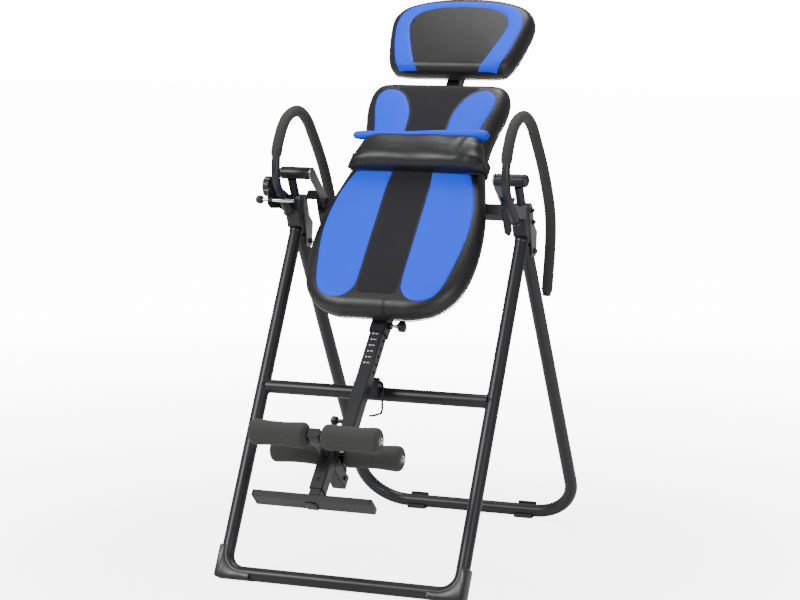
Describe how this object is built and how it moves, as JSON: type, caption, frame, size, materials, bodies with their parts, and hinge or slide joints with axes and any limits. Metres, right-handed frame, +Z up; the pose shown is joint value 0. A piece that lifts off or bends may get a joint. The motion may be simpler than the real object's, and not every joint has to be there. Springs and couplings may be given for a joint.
{
  "type": "inversion table",
  "caption": "Folding inversion table: tube A-frame with looped foam handles, tilting padded bed, lumbar pillow, headrest, sliding height boom, foam ankle rollers and a footrest bar.",
  "frame": {"origin": "middle of the outline on the floor, under the bed", "axes": "+X to the right of a user facing the bed, +Y to the rear, +Z up"},
  "size_m": [0.7663, 1.2334, 1.5437],
  "materials": {
    "coat": "satin black powder coat",
    "zinc": "zinc plate",
    "chrome": "bright chrome",
    "foam": "matt closed-cell foam",
    "vinyl": "black vinyl with blue fabric panels",
    "rubber": "matt rubber",
    "plastic": "moulded black plastic"
  },
  "bodies": {
    "frame": {"front_frame": "coat", "front_crossbar": "coat", "front_foot_left": "rubber", "front_foot_right": "rubber", "hinge_bracket_left": "coat", "hinge_bracket_right": "coat", "hinge_plate_left_outer": "zinc", "hinge_plate_left_inner": "zinc", "hinge_plate_right_outer": "zinc", "hinge_plate_right_inner": "zinc", "fold_bolt_left": "coat", "fold_bolt_right": "coat", "pivot_housing_left": "coat", "pivot_housing_right": "coat", "pivot_cap_left": "plastic", "pivot_cap_right": "plastic", "handle_left": "coat", "handle_right": "coat", "grip_left": "foam", "grip_right": "foam", "grip_cap_left": "plastic", "grip_cap_right": "plastic", "limiter_plate": "coat", "latch_saddle": "coat", "latch_spring": "chrome"},
    "rear_frame": {"rear_frame": "coat", "rear_foot_left": "rubber", "rear_foot_right": "rubber"},
    "bed": {"bed_sleeve": "coat", "bed_beam_left": "coat", "bed_beam_right": "coat", "pivot_arm_left": "zinc", "pivot_arm_right": "zinc", "pivot_shaft_left": "chrome", "pivot_shaft_right": "chrome", "backrest": "vinyl", "lumbar_pillow": "vinyl"},
    "boom": {"boom": "coat", "ankle_cross_tube": "coat", "rear_axle": "chrome"},
    "headrest": {"headrest": "vinyl", "head_post": "coat"},
    "ankle_arm": {"ankle_slide": "zinc", "ankle_stem": "coat", "ankle_bracket": "coat", "front_axle": "chrome"},
    "footrest": {"footrest_stem": "coat", "footrest_bar": "coat"},
    "height_pin": {"height_pin": "plastic"},
    "ankle_pin": {"ankle_pin": "plastic"},
    "front_roller_left": {"front_roller_left": "foam"},
    "front_roller_right": {"front_roller_right": "foam"},
    "rear_roller_left": {"rear_roller_left": "foam"},
    "rear_roller_right": {"rear_roller_right": "foam"},
    "limiter_dial": {"limiter_dial": "plastic"},
    "limiter_pin": {"limiter_pin": "chrome"},
    "latch_hook": {"latch_hook": "coat"},
    "lock_hook_left": {"lock_hook_left": "plastic"},
    "lock_hook_right": {"lock_hook_right": "plastic"}
  },
  "joints": [
    {"name": "frame_fold", "type": "hinge", "parent": "frame", "child": "rear_frame", "pos_m": [0.0188, 0.0954, 0.857], "axis": [1, 0, 0], "range_deg": [-58, 0]},
    {"name": "bed_tilt", "type": "hinge", "parent": "frame", "child": "bed", "pos_m": [0.0188, 0.0104, 1.054], "axis": [1, 0, 0], "range_deg": [-135, 2.5]},
    {"name": "boom_height", "type": "slide", "parent": "bed", "child": "boom", "axis": [0, 0.6691, 0.7431], "range_m": [-0.05, 0.15]},
    {"name": "headrest_height", "type": "slide", "parent": "bed", "child": "headrest", "axis": [0, 0.6691, 0.7431], "range_m": [-0.02, 0.06]},
    {"name": "ankle_slide", "type": "slide", "parent": "boom", "child": "ankle_arm", "axis": [0, -0.7431, 0.6691], "range_m": [0, 0.05]},
    {"name": "footrest_height", "type": "slide", "parent": "ankle_arm", "child": "footrest", "axis": [0, 0.6691, 0.7431], "range_m": [-0.05, 0.015]},
    {"name": "height_pin_pull", "type": "slide", "parent": "bed", "child": "height_pin", "axis": [1, 0, 0], "range_m": [0, 0.012], "stiffness_N_per_m": 800},
    {"name": "ankle_pin_pull", "type": "slide", "parent": "boom", "child": "ankle_pin", "axis": [-1, 0, 0], "range_m": [0, 0.012], "stiffness_N_per_m": 800},
    {"name": "limiter_dial_turn", "type": "hinge", "parent": "frame", "child": "limiter_dial", "pos_m": [-0.3387, -0.0566, 1.02], "axis": [1, 0, 0], "range_deg": [-90, 90]},
    {"name": "limiter_pin_pull", "type": "slide", "parent": "frame", "child": "limiter_pin", "axis": [-1, 0, 0], "range_m": [0, 0.03], "stiffness_N_per_m": 600},
    {"name": "latch_hook_turn", "type": "hinge", "parent": "frame", "child": "latch_hook", "pos_m": [0.0188, -0.18396, 0.516], "axis": [1, 0, 0], "range_deg": [-35, 0], "stiffness_Nm_per_rad": 0.5, "springref_deg": 20.05},
    {"name": "lock_hook_left_turn", "type": "hinge", "parent": "bed", "child": "lock_hook_left", "pos_m": [-0.254, 0.10329, 0.97036], "axis": [1, 0, 0], "range_deg": [-30, 0], "stiffness_Nm_per_rad": 0.5, "springref_deg": 20.05},
    {"name": "front_roller_left_spin", "type": "hinge", "parent": "ankle_arm", "child": "front_roller_left", "pos_m": [-0.0812, -0.58118, 0.43884], "axis": [1, 0, 0], "continuous": true},
    {"name": "rear_roller_left_spin", "type": "hinge", "parent": "boom", "child": "rear_roller_left", "pos_m": [-0.0852, -0.4413, 0.36807], "axis": [1, 0, 0], "continuous": true},
    {"name": "lock_hook_right_turn", "type": "hinge", "parent": "bed", "child": "lock_hook_right", "pos_m": [0.2916, 0.10329, 0.97036], "axis": [1, 0, 0], "range_deg": [-30, 0], "stiffness_Nm_per_rad": 0.5, "springref_deg": 20.05},
    {"name": "front_roller_right_spin", "type": "hinge", "parent": "ankle_arm", "child": "front_roller_right", "pos_m": [0.1188, -0.58118, 0.43884], "axis": [1, 0, 0], "continuous": true},
    {"name": "rear_roller_right_spin", "type": "hinge", "parent": "boom", "child": "rear_roller_right", "pos_m": [0.1228, -0.4413, 0.36807], "axis": [1, 0, 0], "continuous": true}
  ]
}
